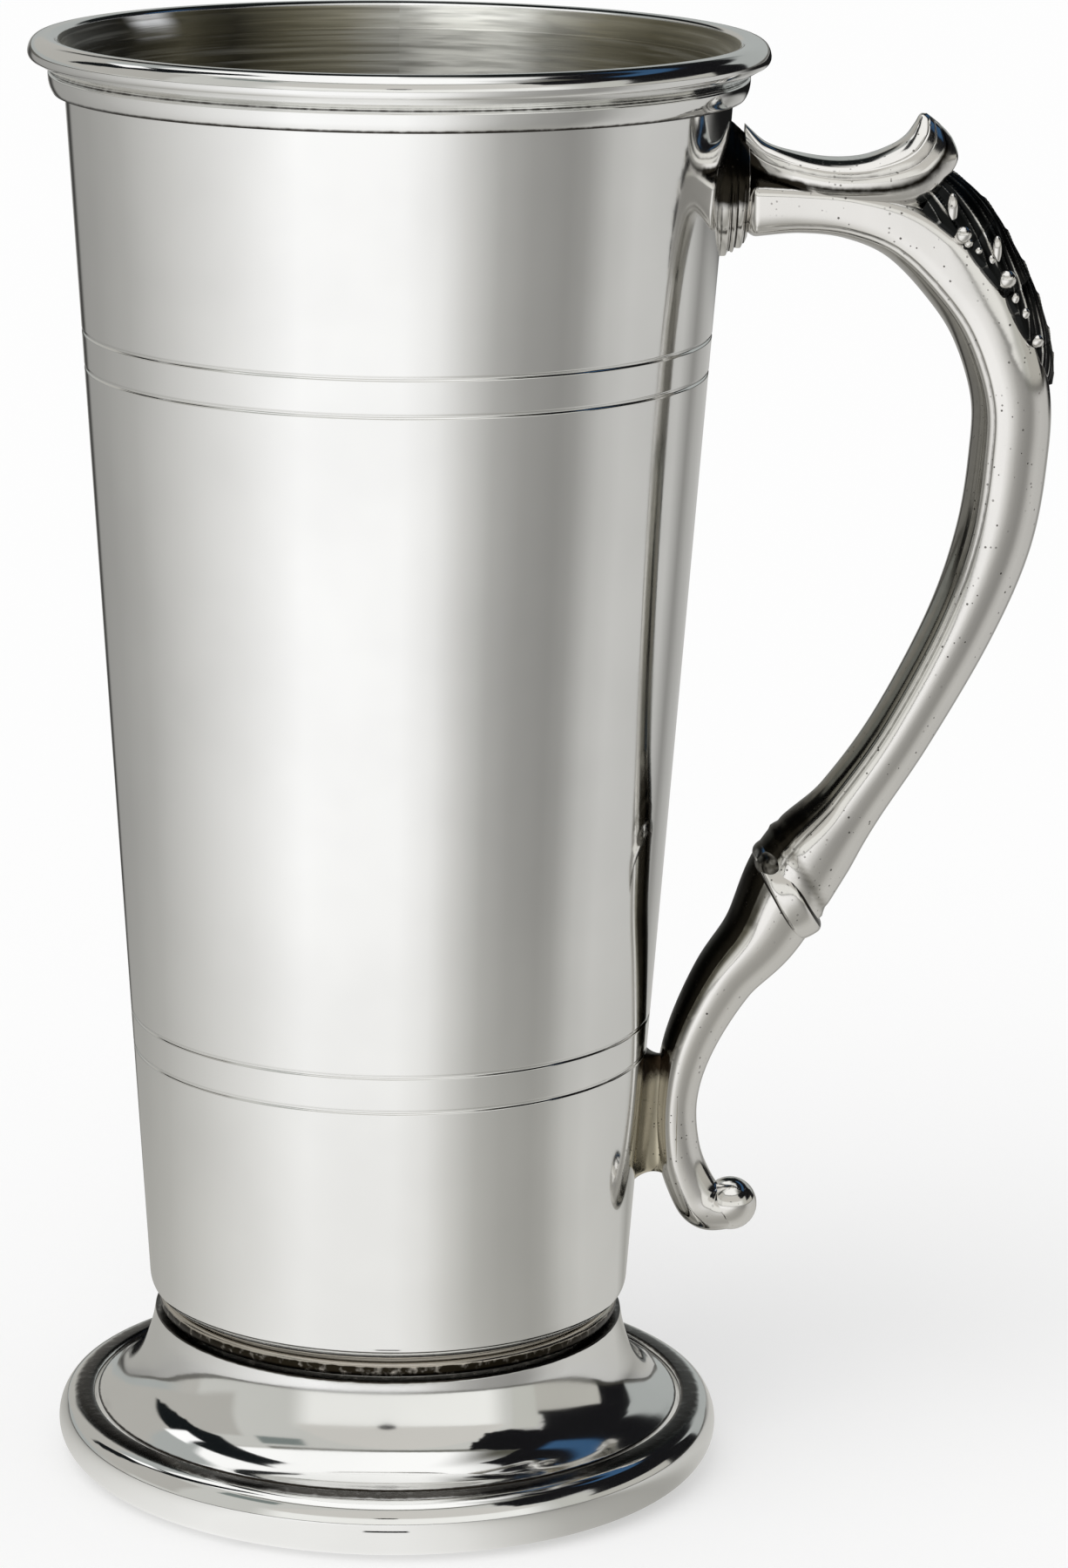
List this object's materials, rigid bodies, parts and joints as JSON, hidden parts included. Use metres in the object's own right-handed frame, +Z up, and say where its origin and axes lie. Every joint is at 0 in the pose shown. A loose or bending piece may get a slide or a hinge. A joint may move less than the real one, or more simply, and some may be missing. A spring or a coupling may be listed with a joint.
{
  "type": "tankard",
  "caption": "Tall tapered pewter tankard with a moulded rim, engraved bands, a flared foot and a cast scroll handle with thumb rest.",
  "frame": {"origin": "on the surface that the tankard stands on, under the middle of its whole outline from the rim to the back of the handle", "axes": "+Z up along the barrel's axis, +X from the barrel towards the handle, +Y across the handle"},
  "size_m": [0.1228, 0.0878, 0.1765],
  "materials": {
    "polished_pewter": "polished, with fine scratches and small pits",
    "cast_pewter": "satin casting with dark pits and oxidised recesses",
    "oxidised_pewter": "dark oxidised casting with bright rubbed edges",
    "solder": "dull grey solder"
  },
  "bodies": {
    "root": {"barrel": "polished_pewter", "rim_moulding": "polished_pewter", "neck_ring": "solder", "foot_skirt": "polished_pewter", "foot_ring": "polished_pewter", "handle_boss": "cast_pewter", "handle_scroll": "cast_pewter", "thumb_rest": "cast_pewter", "acanthus_leaf": "oxidised_pewter", "handle_lug": "cast_pewter"}
  },
  "joints": []
}
